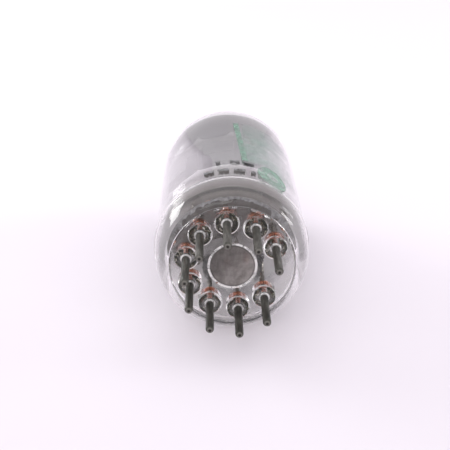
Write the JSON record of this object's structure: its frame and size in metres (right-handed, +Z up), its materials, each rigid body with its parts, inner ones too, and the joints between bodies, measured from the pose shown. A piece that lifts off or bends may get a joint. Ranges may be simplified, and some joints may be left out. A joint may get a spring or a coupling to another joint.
{
  "type": "miniature glass valve",
  "caption": "Small glass double-triode valve lying on its side, with a round dome, sealed tip, mica-held electrodes and a moulded glass button base with contact pins.",
  "frame": {"origin": "on the valve's axis, at the seating face of the glass button", "axes": "+Y along the axis towards the dome, pins towards -Y; +Z up as the valve lies on its side; +X to the right as seen from the pins' side"},
  "size_m": [0.02, 0.0531, 0.02],
  "materials": {
    "bulb_glass": "clear, glossy, lightly scuffed",
    "stem_glass": "clear, moulded, with faint swirls round the pins",
    "getter_mirror": "dark silver film with a soft edge",
    "pin_nickel": "dull dark grey, lightly oxidised",
    "seal_copper": "copper red, seen through glass",
    "lead_nickel": "satin nickel",
    "mica": "thin brownish sheet with a pearly surface",
    "anode_grey": "matt grey, carbonised",
    "grid_wire": "fine drawn wire",
    "grid_rod_copper": "satin copper",
    "cathode_oxide": "matt white oxide coat",
    "heater_alumina": "matt white alumina coat",
    "screen_nickel": "satin nickel sheet",
    "getter_steel": "satin steel, slightly heat-marked"
  },
  "bodies": {
    "root": {"anode_a_inner": "anode_grey", "anode_a_outer": "anode_grey", "anode_b_inner": "anode_grey", "anode_b_outer": "anode_grey", "button_stem": "stem_glass", "cathode_a": "cathode_oxide", "cathode_a_ribbon": "lead_nickel", "cathode_b": "cathode_oxide", "cathode_b_ribbon": "lead_nickel", "getter_film": "getter_mirror", "getter_post": "getter_steel", "getter_ring": "getter_steel", "glass_bulb": "bulb_glass", "grid_a_rod_1": "grid_rod_copper", "grid_a_rod_2": "grid_rod_copper", "grid_a_winding": "grid_wire", "grid_b_rod_1": "grid_rod_copper", "grid_b_rod_2": "grid_rod_copper", "grid_b_winding": "grid_wire", "heater_a": "heater_alumina", "heater_b": "heater_alumina", "heater_link_1": "lead_nickel", "heater_link_2": "lead_nickel", "lead_1": "lead_nickel", "lead_2": "lead_nickel", "lead_3": "lead_nickel", "lead_4": "lead_nickel", "lead_5": "lead_nickel", "lead_6": "lead_nickel", "lead_7": "lead_nickel", "lead_8": "lead_nickel", "lead_9": "lead_nickel", "lower_mica": "mica", "pin_1": "pin_nickel", "pin_2": "pin_nickel", "pin_3": "pin_nickel", "pin_4": "pin_nickel", "pin_5": "pin_nickel", "pin_6": "pin_nickel", "pin_7": "pin_nickel", "pin_8": "pin_nickel", "pin_9": "pin_nickel", "screen_plate": "screen_nickel", "seal_wire_1": "seal_copper", "seal_wire_2": "seal_copper", "seal_wire_3": "seal_copper", "seal_wire_4": "seal_copper", "seal_wire_5": "seal_copper", "seal_wire_6": "seal_copper", "seal_wire_7": "seal_copper", "seal_wire_8": "seal_copper", "seal_wire_9": "seal_copper", "upper_mica": "mica"}
  },
  "joints": []
}
